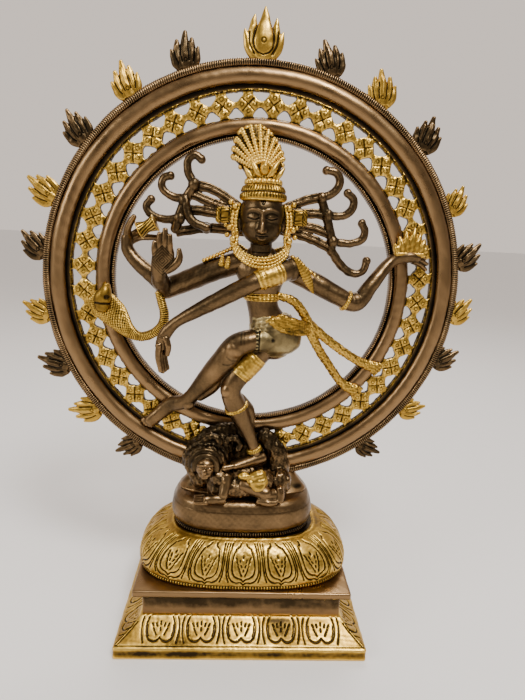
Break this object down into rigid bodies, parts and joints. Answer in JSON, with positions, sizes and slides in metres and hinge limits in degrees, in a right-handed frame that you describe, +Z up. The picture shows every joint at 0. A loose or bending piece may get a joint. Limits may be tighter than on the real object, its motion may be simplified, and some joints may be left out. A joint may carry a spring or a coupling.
{
  "type": "dancing figure statue",
  "caption": "Cast brass statue of a four-armed dancer inside a pierced ring with flames, standing on a dwarf above a lotus cushion and a stepped hollow base.",
  "frame": {"origin": "on the table, under the middle of the base", "axes": "+Z up, -Y to the front that the dancer faces, +X to the viewer's right"},
  "size_m": [0.3341, 0.13, 0.4441],
  "materials": {
    "dark_patina": "dark brown patina over cast brass, worn to a warm copper gold on the high places",
    "gilt_brass": "polished yellow brass with dark recesses in the engraving",
    "steel_fastener": "plain zinc-grey steel, slightly dull"
  },
  "bodies": {
    "root": {"foot_flare": "gilt_brass", "plinth": "dark_patina", "lotus_cushion": "gilt_brass", "pedestal_drum": "dark_patina", "clamp_bar": "steel_fastener", "tie_rod": "steel_fastener", "tie_washer": "steel_fastener", "tie_nut": "steel_fastener", "ring_screw_left": "steel_fastener", "ring_screw_right": "steel_fastener", "outer_hoop": "dark_patina", "lattice_band": "gilt_brass", "inner_hoop": "dark_patina", "flame_top": "gilt_brass", "flame_left_1": "dark_patina", "flame_left_2": "gilt_brass", "flame_left_3": "dark_patina", "flame_left_4": "gilt_brass", "flame_left_5": "dark_patina", "flame_left_6": "gilt_brass", "flame_left_7": "dark_patina", "flame_left_8": "gilt_brass", "flame_left_9": "dark_patina", "flame_right_1": "dark_patina", "flame_right_2": "gilt_brass", "flame_right_3": "dark_patina", "flame_right_4": "gilt_brass", "flame_right_5": "dark_patina", "flame_right_6": "gilt_brass", "flame_right_7": "dark_patina", "flame_right_8": "gilt_brass", "flame_right_9": "dark_patina", "dwarf_body": "dark_patina", "dwarf_head": "dark_patina", "standing_leg": "dark_patina", "raised_leg": "dark_patina", "torso": "dark_patina", "head": "dark_patina", "crown": "gilt_brass", "ear_disc_left": "gilt_brass", "ear_disc_right": "gilt_brass", "hair_left": "dark_patina", "hair_right": "dark_patina", "left_upper_arm": "dark_patina", "blessing_forearm": "dark_patina", "drum_forearm": "dark_patina", "crossing_arm": "dark_patina", "flame_arm": "dark_patina", "crossing_arm_cuff": "gilt_brass", "flame_arm_band": "gilt_brass", "hand_drum": "gilt_brass", "palm_flame": "gilt_brass", "necklace": "gilt_brass", "chest_band": "gilt_brass", "hip_cloth": "gilt_brass", "sash": "gilt_brass", "thigh_cuff": "gilt_brass", "calf_band": "gilt_brass", "anklet": "gilt_brass", "snake": "gilt_brass"}
  },
  "joints": []
}
